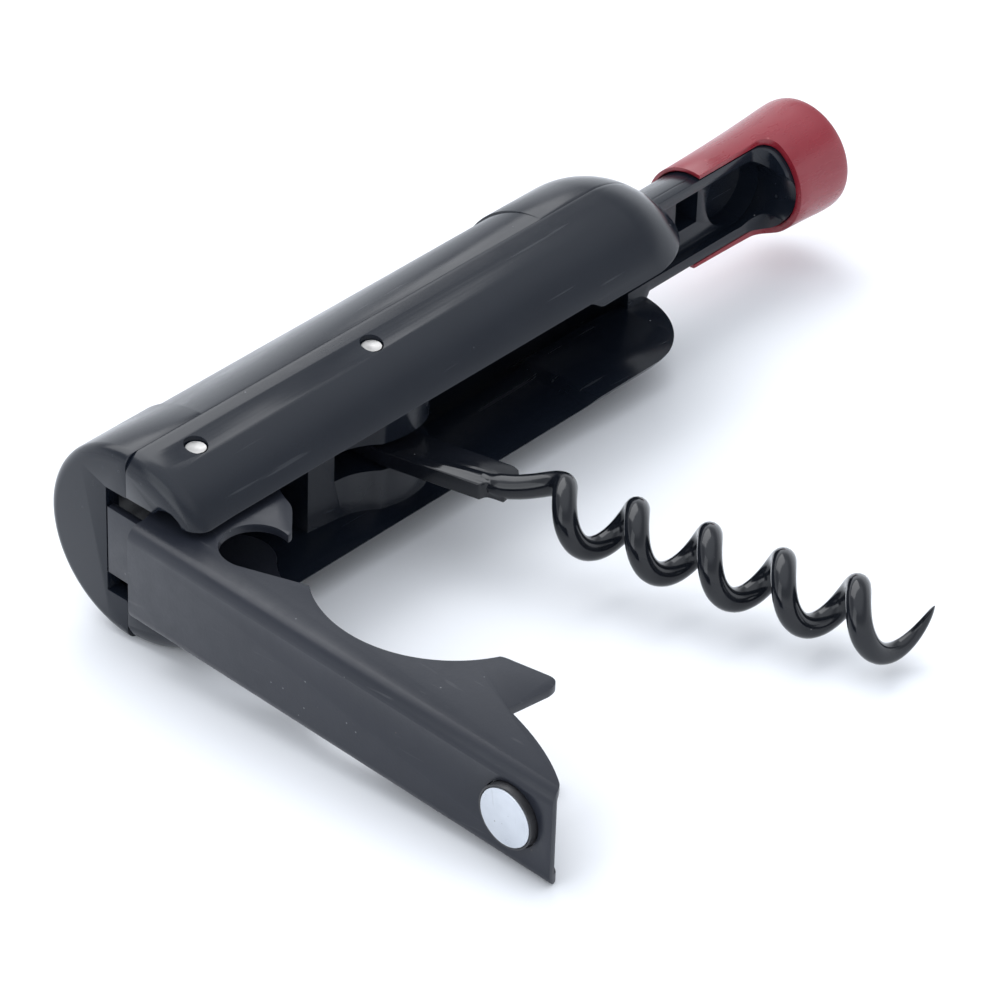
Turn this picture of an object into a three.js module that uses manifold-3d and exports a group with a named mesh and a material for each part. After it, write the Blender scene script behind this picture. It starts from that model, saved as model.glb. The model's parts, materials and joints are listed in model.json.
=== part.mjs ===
// Bottle-shaped pocket corkscrew: a hollow moulded handle in two halves, a folding pressed-steel
// lever with a cap lifter and a magnet, and a folding wire worm. Millimetres, +Z up.
// Everything is drawn in the handle's own frame first: X runs from the flat base to the cap, the
// mouth of the handle faces -Y, and both hinge pins stand along Z. The tool group then rolls the
// whole thing forward until it lies on the handle's belly and the lever's tip.
import * as THREE from "three";
import { mergeVertices } from "three/addons/utils/BufferGeometryUtils.js";
import Module from "manifold-3d";

const wasm = await Module();
wasm.setup();

// ---- handle ----
const LENGTH = 120; // base to cap
const BODY_R = 12.75; // radius of the bottle's barrel
const FRONT_DEPTH = 1.08; // the front half is this much deeper than a true half circle
const BASE_EDGE = 1.3; // chamfer round the base of the rear half
const FRONT_EDGE = 1.9; // and of the front half
const SHOULDER_X = 78; // the shoulder is a dome of the barrel's radius, centred here
const NECK_R = 6.2;
const CORE_END = 118.6; // the neck core ends inside the cap sleeve
const WALL = 1.8;
const END_WALL = 2.0;
const SEAM = 0.05; // half of the gap between the two moulded halves
const FLOOR_Y = 0.6; // floor of the groove in the neck
const GROOVE_Z = 4.65; // half width of that groove
const LAND_Y = -1.2; // flat land beside the groove
const NOTCH_X = 110.2; // where the neck and the sleeve are whole again
const DISH = { x: 106.3, r: 4.65, floor: 3.0 }; // finger well round the folded worm's tip
const MOUTH = [ // half height of the mouth along the handle, stepped in past the lever's tip
  [-1, 7.25], [6, 7.4], [66.2, 7.35], [67.6, 6.55], [78, 6.55], [84, 6.9], [92, 6.9],
];
const END_SLOT = { y: 3.2, half: 7.15 }; // the slot in the base runs from here to the mouth
const LEDGE_X = 85; // the land starts as a ledge at the end of the mouth
const LAND_X = 89; // from here it lies open
const WINDOW = { x0: 95.6, x1: 99.8, y: 4.4, z0: -1.65, z1: 3.0 }; // pocket in the groove's floor
const BLOCK = { x0: 24, x1: 43.6, slotX: 27.6, slotZ: [-1.9, 1.8] }; // carries the worm
const SCALLOP = { y: -6.6, z: 6.0, r: 2.5 }; // reliefs at the corners of the mouth, in the base
const SLEEVE = { x: 97.7, r0: 6.95, r1: 7.7, edge: 0.7, gap: 0.2, setback: 0.5 };
const LABEL = { x0: 12, x1: 69.3, r: 12.75, y: -0.45 }; // recessed label panel on the back

// ---- hinge pins ----
const PIN_Y = -3.4;
const LEVER_PIN_X = 7.7;
const WORM_PIN_X = 36.3;
const PIN_R = 1.2;
const PIN_HOLE_R = 1.4;
const PIN_HALF = 11.9;

// ---- lever ----
const LEVER_OPEN = 91.9; // degrees that the lever stands open
const LEVER_W = 12.86; // outside width of the channel
const SHEET = 1.05;
const WEB_Y = -10.97; // outer face of the web from the pin
const BEND_R = 1.7; // outside radius of the bends
const TAIL = { x: -6.15, half: 4.55, face: -7.9 }; // narrow stop tongue behind the pin
const SIDE = { x: 0.47, y: -0.51 }; // where the drawn side outline sits from the pin
const MAGNET = { x: 59.85, z: 0.45, r: 3.55, proud: 1.0 };
const HOLDER_R = 3.85;
const BAY = { x: 12.2, y: -2.4, r: 4.15 }; // round bay of the cap lifter
const ARCH = { x: 30.7, y: 9.6, r: 15.8 }; // long arch between cap lifter and beak

// ---- worm ----
const WORM_OPEN = 77.3; // degrees that the worm stands open
const WIRE_R = 1.45;
const COIL_R = 3.1; // radius of the wire's centre line
const PITCH = 9.3;
const TURNS = 4.868;
const WORM_Y = -1.9; // the coil's axis from the pin
const WORM_Z = -0.35;
const COIL_START = 26.73; // distance from the pin at which the full coil starts
const COIL_ANGLE = 85; // degrees round the axis at which it starts
const TIP = { turns: 0.6, drift: 0.75 }; // the last part of a turn swings out to the point
const LEAD = { x: 16, y: -1.7, z: -0.1, bend: 5.5, reach: 3.5 }; // from the tang to the coil
const TANG = { end: 16.7, low: -3.66, high: 1.84, half: 1.1, hub: 3.1, nose: 19.6 };

const ROLL = 5.36; // degrees that the tool lies rolled towards the lever
const { degToRad } = THREE.MathUtils;
const ROUND = 60;

// A closed geometry as a manifold-3d solid.
function solid(geometry) {
  const bare = new THREE.BufferGeometry();
  const source = geometry.index ? geometry.toNonIndexed() : geometry;
  bare.setAttribute("position", source.getAttribute("position"));
  const merged = mergeVertices(bare, 1e-5);
  return new wasm.Manifold(
    new wasm.Mesh({
      numProp: 3,
      vertProperties: new Float32Array(merged.attributes.position.array),
      triVerts: new Uint32Array(merged.index.array),
    }),
  );
}

// A manifold-3d solid as a three.js geometry.
function geometryOf(body) {
  const mesh = body.getMesh();
  const geometry = new THREE.BufferGeometry();
  geometry.setAttribute("position", new THREE.BufferAttribute(mesh.vertProperties, 3));
  geometry.setIndex(new THREE.BufferAttribute(mesh.triVerts, 1));
  const flat = geometry.toNonIndexed();
  flat.computeVertexNormals();
  return flat;
}

// A solid turned about the X axis; the profile is a list of [x, radius] that starts and ends on it.
function turned(profile, segments = ROUND) {
  const points = profile.map(([x, r]) => new THREE.Vector2(r, x));
  return solid(new THREE.LatheGeometry(points, segments).rotateZ(-Math.PI / 2));
}

function box(x0, x1, y0, y1, z0, z1) {
  const geometry = new THREE.BoxGeometry(x1 - x0, y1 - y0, z1 - z0);
  return solid(geometry.translate((x0 + x1) / 2, (y0 + y1) / 2, (z0 + z1) / 2));
}

// A cylinder along Z between two heights.
function post(x, y, r, z0, z1, segments = 24) {
  const geometry = new THREE.CylinderGeometry(r, r, z1 - z0, segments).rotateX(Math.PI / 2);
  return solid(geometry.translate(x, y, (z0 + z1) / 2));
}

// A flat shape in X and Y, extruded along Z between two heights.
function plate(shape, z0, z1, curveSegments = 10) {
  const options = { depth: z1 - z0, bevelEnabled: false, curveSegments };
  return solid(new THREE.ExtrudeGeometry(shape, options).translate(0, 0, z0));
}

function polygon(points) {
  return new THREE.Shape(points.map(([x, y]) => new THREE.Vector2(x, y)));
}

// ---- the bottle ----

// The bottle's outline, drawn inward by `inset`, up to where the neck leaves the dome.
function barrel(inset, start, edge) {
  const r = BODY_R - inset;
  const neck = NECK_R - inset * 0.5;
  const last = Math.acos(neck / r);
  const steps = 12;
  const dome = [];
  for (let i = 0; i <= steps; i++) {
    const a = (last * i) / steps;
    dome.push([SHOULDER_X + r * Math.sin(a), r * Math.cos(a)]);
  }
  return [[start, 0], [start, r - edge], [start + edge, r], ...dome];
}

const bottle = (edge) => turned([...barrel(0, 0, edge), [CORE_END, NECK_R], [CORE_END, 0]]);
const cavityOutline = barrel(WALL, END_WALL, 0.6);
const cavityEnd = cavityOutline[cavityOutline.length - 1][0];
const cavity = turned([...cavityOutline, [cavityEnd, 0]]);
const neckStart = SHOULDER_X + Math.sqrt(BODY_R ** 2 - NECK_R ** 2);
const deep = (body) => body.scale([1, FRONT_DEPTH, 1]);

// The mouth: a slot with flat walls through the whole front half, open at the base.
function mouth() {
  const lower = MOUTH.map(([x, half]) => [x, -half]);
  const outlineXZ = polygon([...lower, ...MOUTH.toReversed()]);
  const options = { depth: 20, bevelEnabled: false };
  const slot = solid(new THREE.ExtrudeGeometry(outlineXZ, options).rotateX(Math.PI / 2));
  return slot.subtract(box(LEDGE_X, LAND_X + 5, LAND_Y, 1, -10, 10));
}

// Hollows shared by both halves in the neck: worm groove, finger well and the notch over them.
function neckCuts() {
  const groove = box(LEDGE_X - 1, DISH.x, -20, FLOOR_Y, -GROOVE_Z, GROOVE_Z);
  const depth = DISH.floor + 20;
  const dish = solid(
    new THREE.CylinderGeometry(DISH.r, DISH.r, depth, 32).translate(DISH.x, DISH.floor - depth / 2, 0),
  );
  return groove.add(dish).add(notch(NOTCH_X - SLEEVE.setback));
}

// The cut over the groove, up to where the bottle is whole again.
function notch(end) {
  const corner = 2.2;
  const shape = new THREE.Shape();
  shape.moveTo(LAND_X, -20);
  shape.lineTo(end, -20);
  shape.lineTo(end, LAND_Y - corner);
  shape.absarc(end - corner, LAND_Y - corner, corner, 0, Math.PI / 2, false);
  shape.lineTo(LAND_X, LAND_Y);
  return plate(shape, -20, 20, 8);
}

function pinHoles() {
  const span = 20;
  return post(LEVER_PIN_X, PIN_Y, PIN_HOLE_R, -span, span).add(
    post(WORM_PIN_X, PIN_Y, PIN_HOLE_R, -span, span),
  );
}

function rearShell() {
  const half = box(-5, LENGTH + 5, SEAM, 30, -30, 30);
  const slot = box(-5, END_WALL + 1, -5, END_SLOT.y, -END_SLOT.half, END_SLOT.half);
  const window = box(WINDOW.x0, WINDOW.x1, 0, WINDOW.y, WINDOW.z0, WINDOW.z1);
  const panel = turned([[LABEL.x0, 0], [LABEL.x0, 20], [LABEL.x1, 20], [LABEL.x1, 0]]).subtract(
    turned([[LABEL.x0 - 1, 0], [LABEL.x0 - 1, LABEL.r], [LABEL.x1 + 1, LABEL.r], [LABEL.x1 + 1, 0]])
      .translate([0, LABEL.y, 0]),
  );
  return bottle(BASE_EDGE).intersect(half).subtract(cavity).subtract(slot).subtract(neckCuts())
    .subtract(window).subtract(panel.intersect(half));
}

// The block that carries the worm, moulded across the front half from wall to wall.
function wormBlock() {
  const shape = polygon([
    [BLOCK.x0, -SEAM], [BLOCK.x0, -5.2], [29.2, -5.8], [31.2, -7.0], [33.4, -8.1],
    [36.6, -8.7], [40.2, -8.4], [42.6, -7.0], [BLOCK.x1, -4.6], [BLOCK.x1, -SEAM],
  ]);
  const slot = new THREE.Shape();
  slot.moveTo(60, -0.6);
  slot.lineTo(WORM_PIN_X, 0.4);
  slot.lineTo(32, -0.6);
  slot.quadraticCurveTo(BLOCK.slotX, -3, BLOCK.slotX, -8);
  slot.lineTo(BLOCK.slotX, -20);
  slot.lineTo(60, -20);
  return plate(shape, -13, 13).intersect(deep(turned(barrel(0.9, 0.9, 0.6).concat([[88, 0]]))))
    .subtract(plate(slot, ...BLOCK.slotZ));
}

function frontShell() {
  const half = box(-5, LENGTH + 5, -30, -SEAM, -30, 30);
  const depth = END_WALL + 2;
  const scallop = new THREE.CylinderGeometry(SCALLOP.r, SCALLOP.r, depth, 24).rotateZ(Math.PI / 2);
  const whole = bottle(FRONT_EDGE);
  const belly = deep(whole).intersect(box(-5, neckStart, -30, 30, -30, 30));
  const body = belly.add(whole).intersect(half).subtract(mouth());
  const relief = [-1, 1].reduce(
    (cut, side) => cut.subtract(solid(scallop.clone().translate(0.5, SCALLOP.y, side * SCALLOP.z))),
    body,
  );
  return relief.add(wormBlock()).subtract(neckCuts()).subtract(pinHoles());
}

// The cap sleeve: a flared tube closed at the end, cut away over the groove.
function capSleeve() {
  const { x, r0, r1, edge, gap, setback } = SLEEVE;
  const outer = turned([
    [x, 0], [x, r0], [LENGTH - edge, r1], [LENGTH, r1 - edge], [LENGTH, 0],
  ]);
  const bore = turned([
    [x - 1, 0], [x - 1, NECK_R + gap], [CORE_END + gap, NECK_R + gap], [CORE_END + gap, 0],
  ]);
  const open = notch(NOTCH_X + setback).add(box(x - 1, DISH.x, -20, LAND_Y, -20, 20));
  return outer.subtract(bore).subtract(open);
}

// ---- the lever, drawn folded: x along it from its pin, y towards the back ----
function leverOutline() {
  const shape = new THREE.Shape();
  shape.moveTo(0, WEB_Y);
  shape.lineTo(65.2, WEB_Y);
  shape.lineTo(65.2, -10.4);
  shape.quadraticCurveTo(65.0, -8.9, 64.2, -8.4);
  shape.quadraticCurveTo(59.3, -5.0, 51.9, -3.3); // lower edge of the beak's gap
  shape.lineTo(52.6, 2.2);
  shape.quadraticCurveTo(52.6, 4.5, 50.6, 4.0);
  shape.lineTo(46.2, 3.1);
  shape.quadraticCurveTo(45.2, 2.95, 44.9, 2.67);
  shape.absarc(ARCH.x, ARCH.y, ARCH.r, degToRad(-26), degToRad(-120.2), true);
  shape.lineTo(21.5, -3.2);
  shape.lineTo(13.6, -6.3);
  shape.absarc(BAY.x, BAY.y, BAY.r, degToRad(-72), degToRad(76), true);
  shape.quadraticCurveTo(13.4, 2.2, 12.4, 3.0);
  shape.lineTo(10.4, 5.0);
  shape.quadraticCurveTo(9.4, 6.0, 8.0, 6.3);
  shape.quadraticCurveTo(5.4, 7.2, 3.6, 9.2);
  shape.quadraticCurveTo(0.4, 11.4, -3.2, 8.6);
  shape.quadraticCurveTo(-6.2, 5.6, -6.0, 0.6);
  shape.quadraticCurveTo(-5.6, -3.6, -1.6, -5.4);
  shape.quadraticCurveTo(0, -6.4, 0, -8.4);
  return shape;
}

function leverChannel() {
  const w = LEVER_W / 2;
  const inner = BEND_R - SHEET;
  const u = new THREE.Shape();
  const top = 14;
  u.moveTo(top, w);
  u.lineTo(WEB_Y + BEND_R, w);
  u.absarc(WEB_Y + BEND_R, w - BEND_R, BEND_R, Math.PI / 2, Math.PI, false);
  u.absarc(WEB_Y + BEND_R, -w + BEND_R, BEND_R, Math.PI, 1.5 * Math.PI, false);
  u.lineTo(top, -w);
  u.lineTo(top, -w + SHEET);
  u.absarc(WEB_Y + BEND_R, -w + BEND_R, inner, 1.5 * Math.PI, Math.PI, true);
  u.absarc(WEB_Y + BEND_R, w - BEND_R, inner, Math.PI, Math.PI / 2, true);
  u.lineTo(top, w - SHEET);
  const along = new THREE.Matrix4().makeBasis(
    new THREE.Vector3(0, 1, 0), new THREE.Vector3(0, 0, 1), new THREE.Vector3(1, 0, 0),
  );
  const options = { depth: 75, bevelEnabled: false, curveSegments: 6 };
  const folded = new THREE.ExtrudeGeometry(u, options).applyMatrix4(along);
  const channel = solid(folded.translate(-8, 0, 0));
  const cornerCut = plate(polygon([[-1, -1], [1.1, -1], [-1, 1.1]]), -3, 3)
    .rotate([90, 0, 0]).translate([SIDE.x, WEB_Y, -w]);
  const tail = plate(polygon([
    [TAIL.x, TAIL.face], [-0.9, TAIL.face], [1.4, WEB_Y + 0.25], [4.2, WEB_Y + 0.25],
    [3.4, WEB_Y + SHEET + 0.2], [2.2, WEB_Y + SHEET + 0.2], [-0.3, TAIL.face + SHEET],
    [TAIL.x, TAIL.face + SHEET],
  ]), -TAIL.half, TAIL.half);
  const seat = solid(
    new THREE.CylinderGeometry(HOLDER_R + 0.15, HOLDER_R + 0.15, 6, 32)
      .translate(MAGNET.x, WEB_Y, MAGNET.z),
  );
  const side = plate(leverOutline(), -8, 8).translate([SIDE.x, SIDE.y, 0]);
  return channel.intersect(side).subtract(cornerCut).add(tail)
    .subtract(seat).subtract(post(0, 0, PIN_HOLE_R, -8, 8));
}

// A disc or ring that lies across the web, its face a given height proud of it.
function webDisc(r, proud, depth) {
  const geometry = new THREE.CylinderGeometry(r, r, depth, 32);
  return solid(geometry.translate(MAGNET.x, WEB_Y - proud + depth / 2, MAGNET.z));
}

function magnetHolder() {
  const body = webDisc(HOLDER_R, MAGNET.proud - 0.12, 2.4);
  return body.subtract(webDisc(MAGNET.r + 0.06, MAGNET.proud + 1, 2.75));
}

// ---- the worm, drawn folded: x along it from its pin ----

// A point on the coil's centre line, so many turns from where the full coil starts.
function coil(turn, target = new THREE.Vector3()) {
  const swing = THREE.MathUtils.smoothstep(turn, TURNS - TIP.turns, TURNS);
  const r = COIL_R + TIP.drift * swing;
  const a = degToRad(COIL_ANGLE) + turn * 2 * Math.PI;
  return target.set(COIL_START + turn * PITCH, WORM_Y + r * Math.cos(a), WORM_Z + r * Math.sin(a));
}

// Centre line of the wire: out of the tang, bent round into the coil, then along it.
class WireLine extends THREE.Curve {
  constructor() {
    super();
    const join = coil(0);
    const heading = coil(0.01).sub(coil(-0.01)).normalize();
    this.bend = new THREE.CubicBezierCurve3(
      new THREE.Vector3(LEAD.x, LEAD.y, LEAD.z),
      new THREE.Vector3(LEAD.x + LEAD.bend, WORM_Y, WORM_Z),
      join.clone().addScaledVector(heading, -LEAD.reach),
      join,
    );
  }

  getPoint(t, target = new THREE.Vector3()) {
    const lead = 0.11;
    return t < lead
      ? this.bend.getPoint(t / lead, target)
      : coil((TURNS * (t - lead)) / (1 - lead), target);
  }
}

// A closed round tube along a curve; its radius falls to a point over the last part.
function taperedWire(curve, radius, taperFrom, steps, sides) {
  const { tangents, normals, binormals } = curve.computeFrenetFrames(steps, false);
  const ring = [];
  for (let i = 0; i <= steps; i++) {
    const t = i / steps;
    const r = radius * (t < taperFrom ? 1 : 1 - 0.93 * ((t - taperFrom) / (1 - taperFrom)) ** 1.4);
    const centre = curve.getPointAt(t);
    for (let j = 0; j < sides; j++) {
      const a = (2 * Math.PI * j) / sides;
      ring.push(centre.clone().addScaledVector(normals[i], r * Math.cos(a))
        .addScaledVector(binormals[i], r * Math.sin(a)));
    }
  }
  const first = ring.length;
  ring.push(curve.getPointAt(0), curve.getPointAt(1).addScaledVector(tangents[steps], radius * 0.1));
  const index = [];
  for (let i = 0; i < steps; i++) {
    for (let j = 0; j < sides; j++) {
      const a = i * sides + j;
      const b = i * sides + ((j + 1) % sides);
      index.push(a, b, b + sides, a, b + sides, a + sides);
    }
  }
  for (let j = 0; j < sides; j++) {
    const next = (j + 1) % sides;
    index.push(first, next, j, first + 1, steps * sides + j, steps * sides + next);
  }
  return new THREE.BufferGeometry().setFromPoints(ring).setIndex(index);
}

function wormBody() {
  const tang = new THREE.Shape();
  tang.absarc(0, 0, TANG.hub, degToRad(90), degToRad(270), false);
  tang.lineTo(3.5, TANG.low);
  tang.lineTo(TANG.end, TANG.low);
  tang.lineTo(TANG.end + 0.4, TANG.low + 0.8);
  tang.quadraticCurveTo(TANG.end + 0.9, -2.6, TANG.nose - 0.2, -2.7); // round under the wire
  tang.lineTo(TANG.nose, 0.4);
  tang.quadraticCurveTo(TANG.nose - 0.4, TANG.high, TANG.nose - 2, TANG.high);
  tang.lineTo(4.5, TANG.high);
  tang.quadraticCurveTo(2.5, TANG.hub, 0, TANG.hub);
  const wire = solid(taperedWire(new WireLine(), WIRE_R, 0.9, 118, 10));
  return plate(tang, WORM_Z - TANG.half, WORM_Z + TANG.half, 10).add(wire)
    .subtract(post(0, 0, PIN_HOLE_R, -8, 8));
}

// ---- assembly ----
function piece(name, body, color, roughness, metalness) {
  const mesh = new THREE.Mesh(
    geometryOf(body),
    new THREE.MeshStandardMaterial({ color, roughness, metalness }),
  );
  mesh.name = name;
  return mesh;
}

const BLACK_PLASTIC = 0x16181b;
const LEVER_COAT = 0x2e3136;
const WORM_COAT = 0x101215;
const STEEL = 0xb8babc;
const NICKEL = 0xdfe6ea;
const CAP_RED = 0x8d1a26;

const handle = new THREE.Group();
handle.add(
  piece("rear_shell", rearShell(), BLACK_PLASTIC, 0.35, 0),
  piece("front_shell", frontShell(), BLACK_PLASTIC, 0.35, 0),
  piece("cap_sleeve", capSleeve(), CAP_RED, 0.4, 0),
  piece("lever_pin", post(LEVER_PIN_X, PIN_Y, PIN_R, -PIN_HALF, PIN_HALF), STEEL, 0.35, 1),
  piece("worm_pin", post(WORM_PIN_X, PIN_Y, PIN_R, -PIN_HALF, PIN_HALF), STEEL, 0.35, 1),
);

const lever = new THREE.Group();
lever.position.set(LEVER_PIN_X, PIN_Y, 0);
lever.rotation.z = degToRad(-LEVER_OPEN);
lever.add(
  piece("lever_channel", leverChannel(), LEVER_COAT, 0.4, 0.6),
  piece("magnet_holder", magnetHolder(), BLACK_PLASTIC, 0.5, 0),
  piece("magnet", webDisc(MAGNET.r, MAGNET.proud, 1.6), NICKEL, 0.3, 1),
);

const worm = new THREE.Group();
worm.position.set(WORM_PIN_X, PIN_Y, 0);
worm.rotation.z = degToRad(-WORM_OPEN);
worm.add(piece("worm", wormBody(), WORM_COAT, 0.2, 0.5));

const tool = new THREE.Group();
tool.add(handle, lever, worm);
tool.rotation.x = degToRad(ROLL);

// The origin is under the middle of the whole tool as it lies.
const bounds = new THREE.Box3().setFromObject(tool, true);
const middle = bounds.getCenter(new THREE.Vector3());
tool.position.set(-middle.x, -middle.y, -bounds.min.z);

const corkscrew = new THREE.Group();
corkscrew.add(tool);

export default corkscrew;
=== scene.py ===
"""Bottle-shaped pocket corkscrew, lying open: handle in two halves, folding lever, folding worm."""

import json
import math

import bpy
from mathutils import Matrix, Vector


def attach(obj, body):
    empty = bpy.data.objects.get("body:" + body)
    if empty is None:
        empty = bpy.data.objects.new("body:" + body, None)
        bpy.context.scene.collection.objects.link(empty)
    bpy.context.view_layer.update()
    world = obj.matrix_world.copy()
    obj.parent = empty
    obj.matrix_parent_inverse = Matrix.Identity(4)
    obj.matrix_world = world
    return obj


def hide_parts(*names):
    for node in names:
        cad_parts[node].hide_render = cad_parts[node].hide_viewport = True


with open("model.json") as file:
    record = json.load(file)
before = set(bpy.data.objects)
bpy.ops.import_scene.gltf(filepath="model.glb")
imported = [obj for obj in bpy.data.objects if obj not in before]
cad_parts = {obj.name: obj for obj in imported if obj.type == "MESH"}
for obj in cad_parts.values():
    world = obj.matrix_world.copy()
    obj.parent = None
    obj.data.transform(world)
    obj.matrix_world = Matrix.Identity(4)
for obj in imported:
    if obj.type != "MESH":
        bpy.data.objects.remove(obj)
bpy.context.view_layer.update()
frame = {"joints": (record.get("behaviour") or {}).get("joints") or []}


# ---------------------------------------------------------------- how the tool lies
# Every piece is drawn in millimetres in the handle's own frame: X from the flat base to the cap,
# the mouth facing -Y, the hinge pins along Z. The tool rests rolled towards its lever, and the
# roll and the place both come from the lever's hinge.
MM = 0.001
LEVER_PIN_X = 7.7
WORM_PIN_X = 36.3
PIN_Y = -3.4

hinges = {joint["name"]: joint for joint in frame["joints"]}
hinge_axis = Vector(hinges["lever_fold"]["axis"])
roll = Matrix.Rotation(math.atan2(-hinge_axis.y, hinge_axis.z), 4, "X")
lever_pin_centre = Vector((LEVER_PIN_X, PIN_Y, 0)) * MM
lie = Matrix.Translation(Vector(hinges["lever_fold"]["pos_m"]) - roll @ lever_pin_centre) @ roll
lie_from_mm = lie @ Matrix.Scale(MM, 4)


# ---------------------------------------------------------------- rear half of the handle
# Injection-moulded black ABS. It makes the back half of the barrel with a sunk label panel, half
# of the base, and the neck core with its groove and finger well. It is welded to the front half
# along the seam.
BARREL_R = 12.75
BASE_ROUND = 1.5
FRONT_BASE_ROUND = 2.3
SHOULDER_X = 78.0
NECK_R = 6.2
CORE_END = 118.6
WALL = 1.8
BASE_WALL = 2.0
HALF_SEAM = 0.02
FRONT_DEPTH = 1.08
NECK_START = SHOULDER_X + math.sqrt(BARREL_R**2 - NECK_R**2)
TURN_STEPS = 160
REACH = 30.0
CUT_REACH = 20.0


def work_on(piece):
    bpy.ops.object.select_all(action="DESELECT")
    piece.select_set(True)
    bpy.context.view_layer.objects.active = piece


def arc(cx, cy, r, start, end, steps=16):
    """Points on an arc, with its angles in degrees."""
    turns = [math.radians(start + (end - start) * i / steps) for i in range(steps + 1)]
    return [(cx + r * math.cos(a), cy + r * math.sin(a)) for a in turns]


def sweep(start, pull, end, steps=8):
    """Points on a soft curve from start to end, pulled towards the middle point."""
    made = []
    for i in range(1, steps + 1):
        t = i / steps
        a, b, c = (1 - t) ** 2, 2 * t * (1 - t), t * t
        made.append(
            (a * start[0] + b * pull[0] + c * end[0], a * start[1] + b * pull[1] + c * end[1])
        )
    return made


def draw_line(name, points):
    """A line of edges in the XY plane, extruded from point to point out of a single vertex."""
    bpy.ops.object.select_all(action="DESELECT")
    bpy.ops.mesh.primitive_plane_add(size=1, location=(0, 0, 0))
    piece = bpy.context.object
    piece.name = name
    bpy.ops.object.mode_set(mode="EDIT")
    bpy.ops.mesh.select_all(action="SELECT")
    bpy.ops.mesh.merge(type="CENTER")
    bpy.ops.transform.translate(value=(*points[0], 0))
    for (x0, y0), (x1, y1) in zip(points, points[1:]):
        bpy.ops.mesh.extrude_region_move(TRANSFORM_OT_translate={"value": (x1 - x0, y1 - y0, 0)})
    return piece


def turn_solid(name, profile, steps=TURN_STEPS):
    """A solid turned about the X axis from (distance along it, radius) points."""
    piece = draw_line(name, profile)
    bpy.ops.mesh.select_all(action="SELECT")
    bpy.ops.mesh.spin(steps=steps, angle=2 * math.pi, center=(0, 0, 0), axis=(1, 0, 0))
    bpy.ops.mesh.select_all(action="SELECT")
    bpy.ops.mesh.remove_doubles(threshold=0.0005)
    bpy.ops.mesh.normals_make_consistent(inside=False)
    bpy.ops.object.mode_set(mode="OBJECT")
    return piece


def raise_outline(name, points, low, high):
    """A closed outline raised from one height to another."""
    piece = draw_line(name, [*points, points[0]])
    bpy.ops.mesh.select_all(action="SELECT")
    bpy.ops.mesh.remove_doubles(threshold=0.0005)
    bpy.ops.mesh.edge_face_add()
    bpy.ops.transform.translate(value=(0, 0, low))
    bpy.ops.mesh.extrude_region_move(TRANSFORM_OT_translate={"value": (0, 0, high - low)})
    bpy.ops.mesh.select_all(action="SELECT")
    bpy.ops.mesh.normals_make_consistent(inside=False)
    bpy.ops.object.mode_set(mode="OBJECT")
    return piece


def block(x0, x1, y0, y1, z0, z1):
    return raise_outline("block", [(x0, y0), (x1, y0), (x1, y1), (x0, y1)], z0, z1)


def half_space(side):
    """Everything behind the seam between the halves (1), or in front of it (-1)."""
    near, far = sorted((side * HALF_SEAM, side * REACH))
    return block(-5, 125, near, far, -REACH, REACH)


def rod(x, y, r, low, high, steps=48):
    """A round bar that stands along Z."""
    bpy.ops.object.select_all(action="DESELECT")
    bpy.ops.mesh.primitive_cylinder_add(
        vertices=steps, radius=r, depth=high - low, location=(x, y, (low + high) / 2)
    )
    piece = bpy.context.object
    bpy.ops.object.transform_apply(location=True, rotation=True, scale=True)
    return piece


def join_with(piece, other, way):
    """Cuts the other solid out of the piece, adds it, or keeps what both share."""
    change = piece.modifiers.new("join", "BOOLEAN")
    change.operation = way
    change.object = other
    change.solver = "EXACT"
    work_on(piece)
    bpy.ops.object.modifier_apply(modifier=change.name)
    bpy.data.objects.remove(other)
    return piece


def cut(piece, *others):
    for other in others:
        join_with(piece, other, "DIFFERENCE")
    return piece


def add(piece, *others):
    for other in others:
        join_with(piece, other, "UNION")
    return piece


def keep(piece, other):
    return join_with(piece, other, "INTERSECT")


def ease_edges(piece, width, steps=2, sharper_than=32):
    """Rounds every edge that is sharper than an angle, as a mould or a tumbling drum leaves it."""
    work_on(piece)
    bpy.ops.object.mode_set(mode="EDIT")
    bpy.ops.mesh.select_all(action="SELECT")
    bpy.ops.mesh.remove_doubles(threshold=0.01)
    bpy.ops.mesh.dissolve_limited(angle_limit=math.radians(0.3))
    bpy.ops.object.mode_set(mode="OBJECT")
    bevel = piece.modifiers.new("eased", "BEVEL")
    bevel.width = width
    bevel.segments = steps
    bevel.limit_method = "ANGLE"
    bevel.angle_limit = math.radians(sharper_than)
    bevel.use_clamp_overlap = True
    bevel.miter_outer = "MITER_ARC"
    bpy.ops.object.modifier_apply(modifier=bevel.name)
    bpy.ops.object.shade_smooth_by_angle(angle=math.radians(28))
    return piece


def set_down(piece, name, body, node, unfold=None):
    """Names a finished piece, lays it where the tool lies, and hands it to its body."""
    piece.name = name
    piece.data.name = name
    piece.data.transform(lie_from_mm @ (unfold or Matrix.Identity(4)))
    piece.data.update()
    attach(piece, body)
    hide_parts(node)
    return piece


def barrel_profile(inset, start, edge):
    """Half of the barrel's outline, drawn inward by the inset, up to where the neck begins."""
    r = BARREL_R - inset
    neck = NECK_R - inset * 0.5
    last = math.degrees(math.acos(neck / r))
    corner = arc(start + edge, r - edge, edge, 180, 90, 8)
    dome = arc(SHOULDER_X, 0, r, 90, 90 - last, 26)
    return [(start, 0), *corner, *dome]


def solid_bottle(base_round, deeper=1.0):
    profile = [*barrel_profile(0, 0, base_round), (CORE_END, NECK_R), (CORE_END, 0)]
    bottle = turn_solid("bottle", profile)
    if deeper != 1.0:
        for vertex in bottle.data.vertices:
            if vertex.co.x < NECK_START:
                vertex.co.y *= deeper
    return bottle


def hollow():
    profile = barrel_profile(WALL, BASE_WALL, 0.6)
    return turn_solid("hollow", [*profile, (profile[-1][0], 0)])


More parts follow.
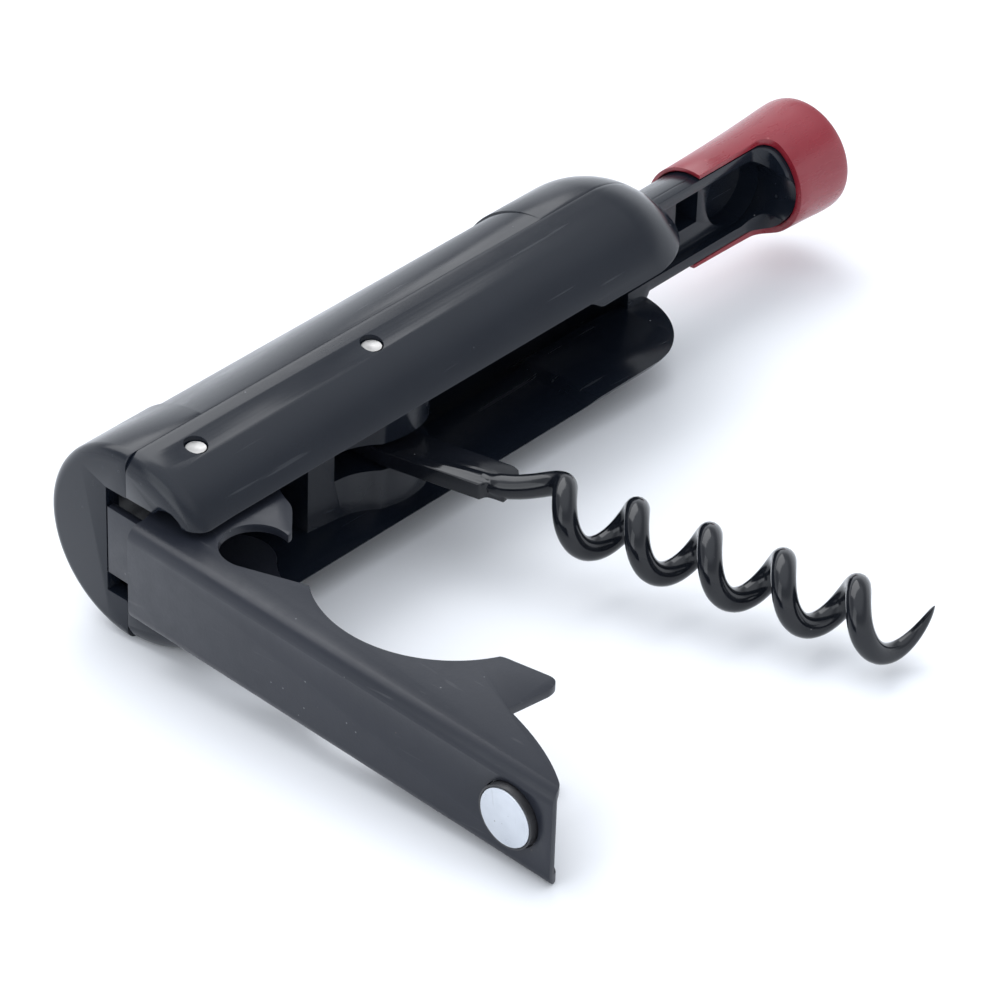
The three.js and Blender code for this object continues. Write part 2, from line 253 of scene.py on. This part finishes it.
LAND_Y = -1.2
NOTCH_END = 110.2
NOTCH_SETBACK = 0.5
WELL_X, WELL_R, WELL_FLOOR = 106.3, 4.7, 3.0
GROOVE_FLOOR = 0.6
GROOVE_HALF = 4.65
LEDGE_START = 85.0
LAND_START = 89.0


def neck_notch(margin=0.0):
    """The space in front of the neck, from the shoulder to a rounded corner near the cap."""
    end, corner = NOTCH_END + margin, 2.2
    outline = [(LAND_START, -CUT_REACH), (end, -CUT_REACH)]
    outline += arc(end - corner, LAND_Y - corner, corner, 0, 90, 10)
    outline.append((LAND_START, LAND_Y))
    return raise_outline("notch", outline, -CUT_REACH, CUT_REACH)


def cut_neck(piece):
    """Cuts the worm's groove, the finger well and the space over them out of the neck core."""
    well = rod(0, 0, WELL_R, 0, CUT_REACH, 96)
    lay_back = Matrix.Rotation(math.radians(90), 4, "X")
    well.data.transform(Matrix.Translation((WELL_X, WELL_FLOOR, 0)) @ lay_back)
    groove = block(
        LEDGE_START - 1, WELL_X, -CUT_REACH, GROOVE_FLOOR, -GROOVE_HALF, GROOVE_HALF
    )
    return cut(piece, groove, well, neck_notch(-NOTCH_SETBACK))


LABEL_START, LABEL_END, LABEL_SHIFT = 12.0, 69.3, -0.45
SLOT_TOP_Y, SLOT_HALF = 3.2, 7.15
WINDOW = (95.6, 99.8, 0, 4.4, -1.65, 3.0)

rear = keep(solid_bottle(BASE_ROUND), half_space(1))
cut(rear, hollow(), block(-5, BASE_WALL + 1, -5, SLOT_TOP_Y, -SLOT_HALF, SLOT_HALF))
cut_neck(rear)
cut(rear, block(*WINDOW))


def roller(name, start, end, r):
    """A plain solid cylinder about the X axis."""
    return turn_solid(name, [(start, 0), (start, r), (end, r), (end, 0)])


label_core = roller("label_core", LABEL_START - 1, LABEL_END + 1, BARREL_R)
label_core.data.transform(Matrix.Translation((0, LABEL_SHIFT, 0)))
label = cut(roller("label", LABEL_START, LABEL_END, CUT_REACH), label_core)
cut(rear, keep(label, half_space(1)))
ease_edges(rear, 0.14)


def new_finish(name, colour, roughness, metallic=0.0):
    """A named material with one shader; gives its node tree, its shader and its coordinates."""
    finish = bpy.data.materials.new(name)
    finish.use_nodes = True
    nodes = finish.node_tree.nodes
    shader = nodes["Principled BSDF"]
    shader.inputs["Base Color"].default_value = (*colour, 1)
    shader.inputs["Roughness"].default_value = roughness
    shader.inputs["Metallic"].default_value = metallic
    place = nodes.new("ShaderNodeTexCoord")
    return finish, finish.node_tree, shader, place.outputs["Object"]


def mottle(tree, place, scale, detail=3.0, stretch=(1, 1, 1), rough=0.55):
    """Cloudy noise on the piece, stretched along an axis if asked."""
    mapping = tree.nodes.new("ShaderNodeMapping")
    mapping.inputs["Scale"].default_value = stretch
    noise = tree.nodes.new("ShaderNodeTexNoise")
    noise.inputs["Scale"].default_value = scale
    noise.inputs["Detail"].default_value = detail
    noise.inputs["Roughness"].default_value = rough
    tree.links.new(place, mapping.inputs["Vector"])
    tree.links.new(mapping.outputs["Vector"], noise.inputs["Vector"])
    return noise.outputs["Fac"]


def specks(tree, place, scale, size, share=0.5):
    """Small round specks: one in each cell of a Voronoi pattern, some of them left out."""
    cells = tree.nodes.new("ShaderNodeTexVoronoi")
    cells.inputs["Scale"].default_value = scale
    tree.links.new(place, cells.inputs["Vector"])
    near = stretch_range(tree, cells.outputs["Distance"], size, size * 0.45, 0, 1)
    apart = tree.nodes.new("ShaderNodeSeparateColor")
    tree.links.new(cells.outputs["Color"], apart.inputs["Color"])
    chosen = stretch_range(tree, apart.outputs["Red"], 1 - share, 1 - share + 0.02, 0, 1)
    return times(tree, near, chosen)


def stretch_range(tree, value, low, high, to_low, to_high):
    """Maps a value from one range to another and clamps it."""
    node = tree.nodes.new("ShaderNodeMapRange")
    for socket, number in (
        ("From Min", low), ("From Max", high), ("To Min", to_low), ("To Max", to_high)
    ):
        node.inputs[socket].default_value = number
    tree.links.new(value, node.inputs["Value"])
    return node.outputs["Result"]


def times(tree, first, second):
    node = tree.nodes.new("ShaderNodeMath")
    node.operation = "MULTIPLY"
    for value, socket in ((first, node.inputs[0]), (second, node.inputs[1])):
        if isinstance(value, (int, float)):
            socket.default_value = value
        else:
            tree.links.new(value, socket)
    return node.outputs["Value"]


def plus(tree, first, second):
    node = tree.nodes.new("ShaderNodeMath")
    node.operation = "ADD"
    tree.links.new(first, node.inputs[0])
    tree.links.new(second, node.inputs[1])
    return node.outputs["Value"]



def colour_mix(tree, share, first, second):
    node = tree.nodes.new("ShaderNodeMix")
    node.data_type = "RGBA"
    factor, a, b = node.inputs[0], node.inputs[6], node.inputs[7]
    tree.links.new(share, factor)
    for value, socket in ((first, a), (second, b)):
        if isinstance(value, tuple):
            socket.default_value = (*value, 1)
        else:
            tree.links.new(value, socket)
    return node.outputs[2]


def raise_bumps(tree, shader, height, depth_mm, strength=1.0):
    """Feeds a height into the shader's normal, its depth given in millimetres."""
    bump = tree.nodes.new("ShaderNodeBump")
    bump.inputs["Distance"].default_value = depth_mm * MM
    bump.inputs["Strength"].default_value = strength
    tree.links.new(height, bump.inputs["Height"])
    tree.links.new(bump.outputs["Normal"], shader.inputs["Normal"])


black_abs, tree, shader, place = new_finish("black_abs", (0.012, 0.014, 0.018), 0.32)
shader.inputs["Specular IOR Level"].default_value = 0.34
clouds = mottle(tree, place, 70, 4)
grain = mottle(tree, place, 5200, 2)
rubs = mottle(tree, place, 240, 6, stretch=(0.35, 1, 1), rough=0.7)
scratches = stretch_range(tree, mottle(tree, place, 900, 2, stretch=(0.06, 1, 1)), 0.68, 0.74, 0, 1)
dust = specks(tree, place, 420, 0.06, share=0.2)
deep_black = colour_mix(tree, clouds, (0.0045, 0.0065, 0.0115), (0.0085, 0.0115, 0.018))
rubbed = colour_mix(tree, times(tree, scratches, 0.35), deep_black, (0.05, 0.055, 0.062))
dusted = colour_mix(tree, times(tree, dust, 0.4), rubbed, (0.30, 0.31, 0.33))
tree.links.new(dusted, shader.inputs["Base Color"])
worn = plus(tree, stretch_range(tree, rubs, 0.3, 0.7, 0.14, 0.27), times(tree, dust, 0.2))
tree.links.new(plus(tree, worn, times(tree, scratches, 0.12)), shader.inputs["Roughness"])
raise_bumps(tree, shader, plus(tree, times(tree, grain, 0.5), times(tree, rubs, 0.6)), 0.010, 0.6)

rear.data.materials.append(black_abs)
set_down(rear, "handle_rear", "handle", "rear_shell")


# ---------------------------------------------------------------- front half of the handle
# The same black ABS. It makes the deeper front of the barrel with the mouth that the worm and the
# lever fold into, two walls with holes for the hinge pins, and a solid block between them that the
# worm turns in.
PIN_HOLE_R = 1.4
SCALLOP_Y, SCALLOP_Z, SCALLOP_R = -6.6, 6.0, 2.5
BLOCK_START, BLOCK_END = 24.0, 43.6
BLOCK_SLOT = (-1.9, 1.8)
FILLER_INSET = 0.9

mouth_edge = [(-1, 7.25), (6, 7.4), (66.0, 7.35), (66.4, 7.2), (67.3, 6.65), (67.8, 6.55)]
mouth_edge += [(78, 6.55), (84, 6.9), (LAND_START + 1, 6.9)]
mouth_outline = mouth_edge + [(x, -z) for x, z in reversed(mouth_edge)]
mouth = raise_outline("mouth", mouth_outline, -CUT_REACH, 0)
mouth.data.transform(
    Matrix.Translation((0, -CUT_REACH, 0)) @ Matrix.Rotation(math.radians(90), 4, "X")
)
cut(mouth, block(LEDGE_START, 99, LAND_Y - 0.02, 1, -10, 10))

front = keep(solid_bottle(FRONT_BASE_ROUND, FRONT_DEPTH), half_space(-1))
cut(front, mouth)
for side in (-1, 1):
    scallop = rod(0, 0, SCALLOP_R, -2, 3)
    scallop.data.transform(
        Matrix.Translation((0, SCALLOP_Y, side * SCALLOP_Z))
        @ Matrix.Rotation(math.pi / 2, 4, "Y")
    )
    cut(front, scallop)

block_front = [(BLOCK_START, -5.2), (29.2, -5.8)]
block_front += sweep((29.2, -5.8), (31.4, -6.2), (33.4, -8.0), 6)
block_front += sweep((33.4, -8.0), (36.8, -9.3), (40.2, -8.4), 6)
block_front += sweep((40.2, -8.4), (43.2, -7.4), (BLOCK_END, -4.6), 6)
block_back = [(BLOCK_END, -HALF_SEAM), (BLOCK_START, -HALF_SEAM)]
worm_block = raise_outline("worm_block", block_back + block_front, -13, 13)
slot_outline = [(60, -0.6), (WORM_PIN_X, 0.4), (32, -0.6)]
slot_outline += sweep((32, -0.6), (27.6, -3), (27.6, -8), 10)
slot_outline += [(27.6, -CUT_REACH), (60, -CUT_REACH)]
cut(worm_block, raise_outline("slot", slot_outline, *BLOCK_SLOT))
filler = turn_solid("filler", [*barrel_profile(FILLER_INSET, FILLER_INSET, 0.6), (88, 0)])
filler.data.transform(Matrix.Diagonal((1, FRONT_DEPTH, 1, 1)))
add(front, keep(worm_block, filler))
cut_neck(front)
for x in (LEVER_PIN_X, WORM_PIN_X):
    cut(front, rod(x, PIN_Y, PIN_HOLE_R, -CUT_REACH, CUT_REACH))
ease_edges(front, 0.2)

front.data.materials.append(black_abs)
set_down(front, "handle_front", "handle", "front_shell")


# ---------------------------------------------------------------- cap sleeve
# A separate deep-red moulded sleeve, pushed over the neck and closed at the end like a bottle's
# foil. Its front is cut away over the groove and ends in a rounded notch.
SLEEVE_START = 97.7
SLEEVE_END = 120.0

sleeve_profile = [(SLEEVE_START, 0), (SLEEVE_START, 6.9)]
sleeve_profile += sweep((SLEEVE_START, 6.9), (108, 7.05), (116, 7.55), 10)
sleeve_profile += sweep((116, 7.55), (118, 7.7), (118.9, 7.65), 4)
sleeve_profile += arc(SLEEVE_END - 0.75, 6.85, 0.75, 80, 0, 8)
sleeve_profile += [(SLEEVE_END, 6.2), (SLEEVE_END - 0.12, 6.0), (SLEEVE_END - 0.12, 0)]
sleeve = turn_solid("sleeve", sleeve_profile)
bore_r, bore_end = NECK_R + 0.2, CORE_END + 0.2
opening = block(SLEEVE_START - 1, 105, -CUT_REACH, LAND_Y, -CUT_REACH, CUT_REACH)
cut(sleeve, roller("bore", SLEEVE_START - 1, bore_end, bore_r), opening)
cut(sleeve, neck_notch(NOTCH_SETBACK))
ease_edges(sleeve, 0.16)

cap_red, tree, shader, place = new_finish("cap_red", (0.26, 0.012, 0.018), 0.3)
shader.inputs["Specular IOR Level"].default_value = 0.55
shader.inputs["Subsurface Weight"].default_value = 0.06
shader.inputs["Subsurface Radius"].default_value = (0.0015, 0.0004, 0.0003)
clouds = mottle(tree, place, 160, 4)
smears = mottle(tree, place, 420, 5, stretch=(0.3, 1, 1), rough=0.7)
flecks = specks(tree, place, 520, 0.11, share=0.3)
deep_red = colour_mix(tree, clouds, (0.18, 0.008, 0.017), (0.255, 0.016, 0.028))
frosted = colour_mix(tree, times(tree, flecks, 0.35), deep_red, (0.55, 0.20, 0.20))
tree.links.new(frosted, shader.inputs["Base Color"])
tree.links.new(stretch_range(tree, smears, 0.3, 0.7, 0.2, 0.38), shader.inputs["Roughness"])
grain = mottle(tree, place, 4200, 2)
raise_bumps(tree, shader, plus(tree, grain, times(tree, smears, 0.7)), 0.012, 0.6)

sleeve.data.materials.append(cap_red)
set_down(sleeve, "cap_sleeve_red", "handle", "cap_sleeve")


# ---------------------------------------------------------------- hinge pins
# Two plain steel pins, cut from wire and pressed through both walls of the handle. Their ends sit
# a little below the surface, with the burr of the cut left on them.
PIN_R = 1.2
PIN_HALF = 11.9

pin_steel, tree, shader, place = new_finish("pin_steel", (0.52, 0.51, 0.49), 0.34, 1.0)
cut_marks = mottle(tree, place, 1500, 4, stretch=(0.25, 1, 1), rough=0.7)
tarnish = mottle(tree, place, 700, 3)
dull_steel = colour_mix(tree, tarnish, (0.36, 0.355, 0.345), (0.60, 0.59, 0.575))
tree.links.new(dull_steel, shader.inputs["Base Color"])
tree.links.new(stretch_range(tree, cut_marks, 0.3, 0.7, 0.38, 0.6), shader.inputs["Roughness"])
raise_bumps(tree, shader, cut_marks, 0.03, 0.8)

for name, x in (("lever_pin", LEVER_PIN_X), ("worm_pin", WORM_PIN_X)):
    pin = rod(x, PIN_Y, PIN_R, -PIN_HALF, PIN_HALF)
    work_on(pin)
    bpy.ops.object.mode_set(mode="EDIT")
    bpy.ops.mesh.select_all(action="DESELECT")
    bpy.ops.object.mode_set(mode="OBJECT")
    for face in pin.data.polygons:
        face.select = abs(face.normal.z) > 0.9
    bpy.ops.object.mode_set(mode="EDIT")
    bpy.ops.mesh.inset(thickness=0.3, depth=0.0, use_individual=True)
    bpy.ops.mesh.inset(thickness=0.5, depth=-0.12, use_individual=True)
    bpy.ops.object.mode_set(mode="OBJECT")
    ease_edges(pin, 0.12)
    pin.data.materials.append(pin_steel)
    set_down(pin, f"{name}_steel", "handle", name)


# ---------------------------------------------------------------- lever
# One piece of 1 mm steel sheet, stamped and folded to a channel: two equal sides that hold the
# cap lifter's bay, the long arch and the beak, and a flat back with a narrow stop tongue that
# lies in the slot of the base. It has a satin charcoal coat.
LEVER_HALF = 6.43
SHEET = 1.05
BACK_Y = -10.97
FOLD_R = 1.7
LEVER_LENGTH = 65.2
BAY = (12.2, -2.4, 4.15)
ARCH = (30.7, 9.6, 15.8)
SIDE_X, SIDE_Y = 0.47, -0.51
MAGNET_X, MAGNET_Z = 59.85, 0.45
MAGNET_R, HOLDER_R = 3.55, 3.85
TONGUE_HALF, TONGUE_END, TONGUE_FACE = 4.55, -6.15, -7.9

tip_gap = sweep((64.2, -8.4), (59.3, -5.0), (51.9, -3.3), 14)
side_outline = [(0, BACK_Y), (LEVER_LENGTH, BACK_Y), (LEVER_LENGTH, -10.4)]
side_outline += sweep((LEVER_LENGTH, -10.4), (65.0, -8.9), (64.2, -8.4), 5) + tip_gap
side_outline += [(52.6, 2.2)] + sweep((52.6, 2.2), (52.6, 4.5), (50.6, 4.0), 8)
side_outline += [(46.2, 3.1)] + sweep((46.2, 3.1), (45.2, 2.95), (44.9, 2.67), 4)
side_outline += arc(*ARCH, -26, -120.2, 40) + [(21.5, -3.2), (13.6, -6.3)]
side_outline += arc(*BAY, -72, -284, 40) + sweep((13.2, 1.63), (13.4, 2.2), (12.4, 3.0), 5)
side_outline += [(10.4, 5.0)] + sweep((10.4, 5.0), (9.4, 6.0), (8.0, 6.3), 5)
side_outline += sweep((8.0, 6.3), (5.4, 7.2), (3.6, 9.2), 8)
side_outline += sweep((3.6, 9.2), (0.4, 11.4), (-3.2, 8.6), 10)
side_outline += sweep((-3.2, 8.6), (-6.2, 5.6), (-6.0, 0.6), 10)
side_outline += sweep((-6.0, 0.6), (-5.6, -3.6), (-1.6, -5.4), 8)
side_outline += sweep((-1.6, -5.4), (0, -6.4), (0, -8.4), 6)

inner_r = FOLD_R - SHEET
fold_y, fold_z = BACK_Y + FOLD_R, LEVER_HALF - FOLD_R
channel_section = [(14, LEVER_HALF)] + arc(fold_y, fold_z, FOLD_R, 90, 180, 12)
channel_section += arc(fold_y, -fold_z, FOLD_R, 180, 270, 12) + [(14, -LEVER_HALF)]
channel_section += [(14, -LEVER_HALF + SHEET)] + arc(fold_y, -fold_z, inner_r, 270, 180, 8)
channel_section += arc(fold_y, fold_z, inner_r, 180, 90, 8) + [(14, LEVER_HALF - SHEET)]
channel = raise_outline("channel", channel_section, -8, 70)
channel.data.transform(Matrix(((0, 0, 1, 0), (1, 0, 0, 0), (0, 1, 0, 0), (0, 0, 0, 1))))

sides = raise_outline("sides", side_outline, -8, 8)
sides.data.transform(Matrix.Translation((SIDE_X, SIDE_Y, 0)))
lever = keep(channel, sides)
corner = raise_outline("corner", [(-1, -1), (1.1, -1), (-1, 1.1)], -3, 3)
corner.data.transform(
    Matrix.Translation((SIDE_X, BACK_Y, -LEVER_HALF)) @ Matrix.Rotation(math.pi / 2, 4, "X")
)
cut(lever, corner)
tongue_outline = [(TONGUE_END, TONGUE_FACE), (-0.9, TONGUE_FACE)]
tongue_outline += [(1.4, BACK_Y + 0.25), (4.2, BACK_Y + 0.25)]
tongue_outline += [(3.4, BACK_Y + SHEET + 0.2), (2.2, BACK_Y + SHEET + 0.2)]
tongue_outline += [(-0.3, TONGUE_FACE + SHEET), (TONGUE_END, TONGUE_FACE + SHEET)]
add(lever, raise_outline("tongue", tongue_outline, -TONGUE_HALF, TONGUE_HALF))


def disc(r, outer_y, depth, steps=64):
    """A round disc that lies in the lever's flat back, with its outer face at a given height."""
    bpy.ops.object.select_all(action="DESELECT")
    bpy.ops.mesh.primitive_cylinder_add(
        vertices=steps, radius=r, depth=depth, location=(MAGNET_X, outer_y + depth / 2, MAGNET_Z),
        rotation=(math.pi / 2, 0, 0),
    )
    made = bpy.context.object
    bpy.ops.object.transform_apply(location=True, rotation=True, scale=True)
    return made


cut(lever, disc(HOLDER_R + 0.15, BACK_Y - 2, 5), rod(0, 0, PIN_HOLE_R, -8, 8))
ease_edges(lever, 0.13)

charcoal_coat, tree, shader, place = new_finish("charcoal_coat", (0.02, 0.021, 0.024), 0.36)
shader.inputs["Specular IOR Level"].default_value = 0.3
clouds = mottle(tree, place, 90, 4)
orange_peel = mottle(tree, place, 2600, 2)
rubs = mottle(tree, place, 330, 6, rough=0.7)
brushing = mottle(tree, place, 1300, 2, stretch=(1, 0.07, 1))
hairlines = stretch_range(tree, brushing, 0.69, 0.74, 0, 1)
dust = specks(tree, place, 460, 0.06, share=0.25)
chips = stretch_range(tree, mottle(tree, place, 620, 3), 0.76, 0.78, 0, 1)
charcoal = colour_mix(tree, clouds, (0.0105, 0.0125, 0.0185), (0.018, 0.0205, 0.029))
rubbed = colour_mix(tree, times(tree, hairlines, 0.3), charcoal, (0.07, 0.072, 0.078))
chipped = colour_mix(tree, times(tree, chips, 0.5), rubbed, (0.11, 0.085, 0.07))
dusted = colour_mix(tree, times(tree, dust, 0.45), chipped, (0.32, 0.33, 0.34))
tree.links.new(dusted, shader.inputs["Base Color"])
worn = plus(tree, stretch_range(tree, rubs, 0.3, 0.7, 0.3, 0.42), times(tree, dust, 0.2))
tree.links.new(worn, shader.inputs["Roughness"])
raise_bumps(tree, shader, plus(tree, orange_peel, times(tree, rubs, 0.5)), 0.012, 0.6)

open_lever = Matrix.Translation((LEVER_PIN_X, PIN_Y, 0)) @ Matrix.Rotation(
    math.radians(-hinges["lever_fold"]["range_deg"][1]), 4, "Z"
)
lever.data.materials.append(charcoal_coat)
set_down(lever, "lever_sheet", "lever", "lever_channel", open_lever)


# ---------------------------------------------------------------- magnet and its holder
# A nickel-plated disc magnet, glued into a shallow black cup that sits in a round hole of the
# lever. It stands a millimetre proud, so that the tool clings to a steel door.
MAGNET_PROUD = 1.0

holder = disc(HOLDER_R, BACK_Y - MAGNET_PROUD + 0.12, 2.4)
cut(holder, disc(MAGNET_R + 0.06, BACK_Y - MAGNET_PROUD - 1, 2.75))
ease_edges(holder, 0.06)
holder_black, tree, shader, place = new_finish("holder_black", (0.012, 0.012, 0.014), 0.45)
grit = mottle(tree, place, 2800, 4)
soot = colour_mix(tree, grit, (0.009, 0.009, 0.011), (0.02, 0.02, 0.023))
tree.links.new(soot, shader.inputs["Base Color"])
tree.links.new(stretch_range(tree, grit, 0.3, 0.7, 0.35, 0.55), shader.inputs["Roughness"])
raise_bumps(tree, shader, grit, 0.01, 0.7)
holder.data.materials.append(holder_black)
set_down(holder, "magnet_cup", "lever", "magnet_holder", open_lever)

magnet = disc(MAGNET_R, BACK_Y - MAGNET_PROUD, 1.6, 96)
ease_edges(magnet, 0.13, steps=3)
nickel, tree, shader, place = new_finish("nickel_plate", (0.72, 0.76, 0.79), 0.34, 0.85)
stains = mottle(tree, place, 380, 5, rough=0.65)
pits = specks(tree, place, 1100, 0.16, share=0.3)
scuffs = stretch_range(tree, mottle(tree, place, 2200, 2, stretch=(1, 1, 0.1)), 0.66, 0.72, 0, 1)
plate = colour_mix(tree, stains, (0.50, 0.53, 0.575), (0.66, 0.69, 0.735))
scuffed = colour_mix(tree, times(tree, scuffs, 0.4), plate, (0.45, 0.47, 0.49))
pitted = colour_mix(tree, times(tree, pits, 0.7), scuffed, (0.16, 0.15, 0.14))
tree.links.new(pitted, shader.inputs["Base Color"])
tree.links.new(stretch_range(tree, stains, 0.3, 0.7, 0.26, 0.45), shader.inputs["Roughness"])
raise_bumps(tree, shader, plus(tree, scuffs, times(tree, stains, 0.5)), 0.008, 0.6)
magnet.data.materials.append(nickel)
set_down(magnet, "magnet_disc", "lever", "magnet", open_lever)


# ---------------------------------------------------------------- worm
# Steel wire, wound to a right-handed coil with a ground point. Its other end is pressed flat to a
# tang with a hole for the pin. The whole piece has a glossy black coat.
WIRE_R = 1.45
COIL_R = 3.1
PITCH = 9.3
TURNS = 4.868
COIL_START = 26.73
COIL_ANGLE = 85
TIP_TURNS, TIP_DRIFT = 0.6, 0.75
AXIS_Y, AXIS_Z = -1.9, -0.35
TANG_END, TANG_LOW, TANG_HIGH, TANG_HALF, HUB_R = 16.7, -3.66, 1.84, 1.1, 3.1
STEPS_A_TURN = 40

tang_outline = arc(0, 0, HUB_R, 90, 270, 24) + [(3.5, TANG_LOW), (TANG_END, TANG_LOW)]
tang_outline += [(17.1, -2.86), *sweep((17.1, -2.86), (17.6, -2.6), (19.4, -2.7), 6), (19.6, 0.4)]
tang_outline += sweep((19.6, 0.4), (19.2, TANG_HIGH), (17.6, TANG_HIGH), 8) + [(4.5, TANG_HIGH)]
tang_outline += sweep((4.5, TANG_HIGH), (2.5, HUB_R), (0, HUB_R), 8)[:-1]
tang = raise_outline("tang", tang_outline, AXIS_Z - TANG_HALF, AXIS_Z + TANG_HALF)
cut(tang, rod(0, 0, PIN_HOLE_R, -8, 8))
ease_edges(tang, 0.3, steps=3)


def coil_point(turn):
    """A point on the coil's centre line, so many turns from where the full coil starts."""
    swing = min(max((turn - TURNS + TIP_TURNS) / TIP_TURNS, 0), 1)
    r = COIL_R + TIP_DRIFT * swing * swing * (3 - 2 * swing)
    a = math.radians(COIL_ANGLE) + 2 * math.pi * turn
    return Vector((COIL_START + turn * PITCH, AXIS_Y + r * math.cos(a), AXIS_Z + r * math.sin(a)))


join = coil_point(0)
heading = (coil_point(0.01) - coil_point(-0.01)).normalized()
bend = (Vector((16, -1.7, -0.1)), Vector((21.5, AXIS_Y, AXIS_Z)), join - 3.5 * heading, join)
lead_steps = 36
wire_points = []
for i in range(lead_steps):
    t = i / lead_steps
    weights = ((1 - t) ** 3, 3 * t * (1 - t) ** 2, 3 * t * t * (1 - t), t**3)
    spot = sum((w * corner for w, corner in zip(weights, bend)), Vector((0, 0, 0)))
    swell = min(max((spot.x - 16.2) / 2.4, 0), 1)
    wire_points.append((spot, 0.72 + 0.28 * swell * swell * (3 - 2 * swell)))
coil_steps = round(TURNS * STEPS_A_TURN)
for i in range(coil_steps + 1):
    turn = TURNS * i / coil_steps
    ground = max(0.0, (turn - TURNS + TIP_TURNS) / TIP_TURNS)
    wire_points.append((coil_point(turn), 1 - 0.95 * ground**1.7))

bpy.ops.object.select_all(action="DESELECT")
bpy.ops.curve.primitive_nurbs_path_add(radius=1, location=(0, 0, 0))
wire = bpy.context.object
wire.data.splines.clear()
line = wire.data.splines.new("POLY")
line.points.add(len(wire_points) - 1)
for point, (spot, share) in zip(line.points, wire_points):
    point.co = (*spot, 1)
    point.radius = share
wire.data.bevel_depth = WIRE_R
wire.data.bevel_resolution = 7
wire.data.use_fill_caps = True
work_on(wire)
bpy.ops.object.convert(target="MESH")
bpy.ops.object.mode_set(mode="EDIT")
bpy.ops.mesh.select_all(action="SELECT")
bpy.ops.mesh.remove_doubles(threshold=0.001)
bpy.ops.mesh.normals_make_consistent(inside=False)
bpy.ops.object.mode_set(mode="OBJECT")
worm = add(tang, bpy.context.object)
work_on(worm)
bpy.ops.object.shade_smooth_by_angle(angle=math.radians(40))

black_gloss, tree, shader, place = new_finish("black_gloss_coat", (0.008, 0.009, 0.011), 0.24)
shader.inputs["Specular IOR Level"].default_value = 0.4
clouds = mottle(tree, place, 260, 4)
ripples = mottle(tree, place, 900, 3)
dust = specks(tree, place, 620, 0.07, share=0.2)
gloss_black = colour_mix(tree, clouds, (0.004, 0.005, 0.0075), (0.009, 0.0105, 0.0145))
dusted = colour_mix(tree, times(tree, dust, 0.4), gloss_black, (0.3, 0.3, 0.3))
tree.links.new(dusted, shader.inputs["Base Color"])
tree.links.new(
    plus(tree, stretch_range(tree, clouds, 0.3, 0.7, 0.09, 0.2), times(tree, dust, 0.2)),
    shader.inputs["Roughness"],
)
raise_bumps(tree, shader, ripples, 0.02, 0.5)

open_worm = Matrix.Translation((WORM_PIN_X, PIN_Y, 0)) @ Matrix.Rotation(
    math.radians(-hinges["worm_fold"]["range_deg"][1]), 4, "Z"
)
worm.data.materials.append(black_gloss)
set_down(worm, "worm_wire", "worm_arm", "worm", open_worm)


# ---------------------------------------------------------------- table, lights and camera
# Pale paper under the tool, a bright sky with one large soft light over and behind the tool and a
# smaller one on its left, and a long lens.
bpy.ops.object.select_all(action="DESELECT")
bpy.ops.mesh.primitive_plane_add(size=6, location=(0, 0, 0))
floor = bpy.context.object
floor.name = "paper_floor"
paper, tree, shader, place = new_finish("pale_paper", (0.86, 0.87, 0.89), 0.6)
shader.inputs["Specular IOR Level"].default_value = 0.2
floor.data.materials.append(paper)


def soft_light(name, size, place_m, target_m, watts, colour):
    bpy.ops.object.light_add(type="AREA", location=place_m)
    lamp = bpy.context.object
    lamp.name = name
    lamp.data.shape = "RECTANGLE"
    lamp.data.size, lamp.data.size_y = size
    lamp.data.energy = watts
    lamp.data.color = colour
    lamp.rotation_euler = (Vector(target_m) - Vector(place_m)).to_track_quat("-Z", "Y").to_euler()


soft_light("softbox_over", (0.9, 0.7), (0.15, 0.55, 0.75), (0, 0, 0), 5, (0.97, 0.98, 1.0))
soft_light("softbox_left", (0.5, 0.8), (-0.9, 0.1, 0.5), (0, 0, 0), 2, (0.93, 0.97, 1.0))

bpy.context.scene.view_settings.view_transform = "Standard"
sky = bpy.data.worlds.new("studio")
sky.use_nodes = True
tree = sky.node_tree
direction = tree.nodes.new("ShaderNodeTexCoord")
split = tree.nodes.new("ShaderNodeSeparateXYZ")
ramp = tree.nodes.new("ShaderNodeValToRGB")
tree.links.new(direction.outputs["Generated"], split.inputs["Vector"])
tree.links.new(split.outputs["Z"], ramp.inputs["Fac"])
# How bright the sky is from the horizon to overhead, with a dim band half way up.
bands = ((0.0, 1.0), (0.3, 0.95), (0.46, 0.55), (0.66, 0.5), (0.84, 1.0), (1.0, 1.1))
for height, level in bands[1:-1]:
    ramp.color_ramp.elements.new(height)
for stop, (height, level) in zip(ramp.color_ramp.elements, bands):
    stop.position = height
    stop.color = (0.90 * level, 0.94 * level, level, 1)
tree.links.new(ramp.outputs["Color"], tree.nodes["Background"].inputs["Color"])
tree.nodes["Background"].inputs["Strength"].default_value = 1.45
bpy.context.scene.world = sky

EYE = Vector((-322.29, -335.06, 339.01))
AIM = Vector((30.49, -28.82, 5.80))
CAMERA_ROLL = 2.021
bpy.ops.object.camera_add()
camera = bpy.context.object
camera.name = "long_lens"
camera.data.sensor_width = 36
camera.data.lens = 183.75
camera.data.clip_start, camera.data.clip_end = 0.02, 20
looking = (AIM - EYE).to_track_quat("-Z", "Y").to_matrix().to_4x4()
tilt = Matrix.Rotation(math.radians(CAMERA_ROLL), 4, "Z")
camera.matrix_world = lie @ Matrix.Translation(EYE * MM) @ looking @ tilt
bpy.context.scene.camera = camera
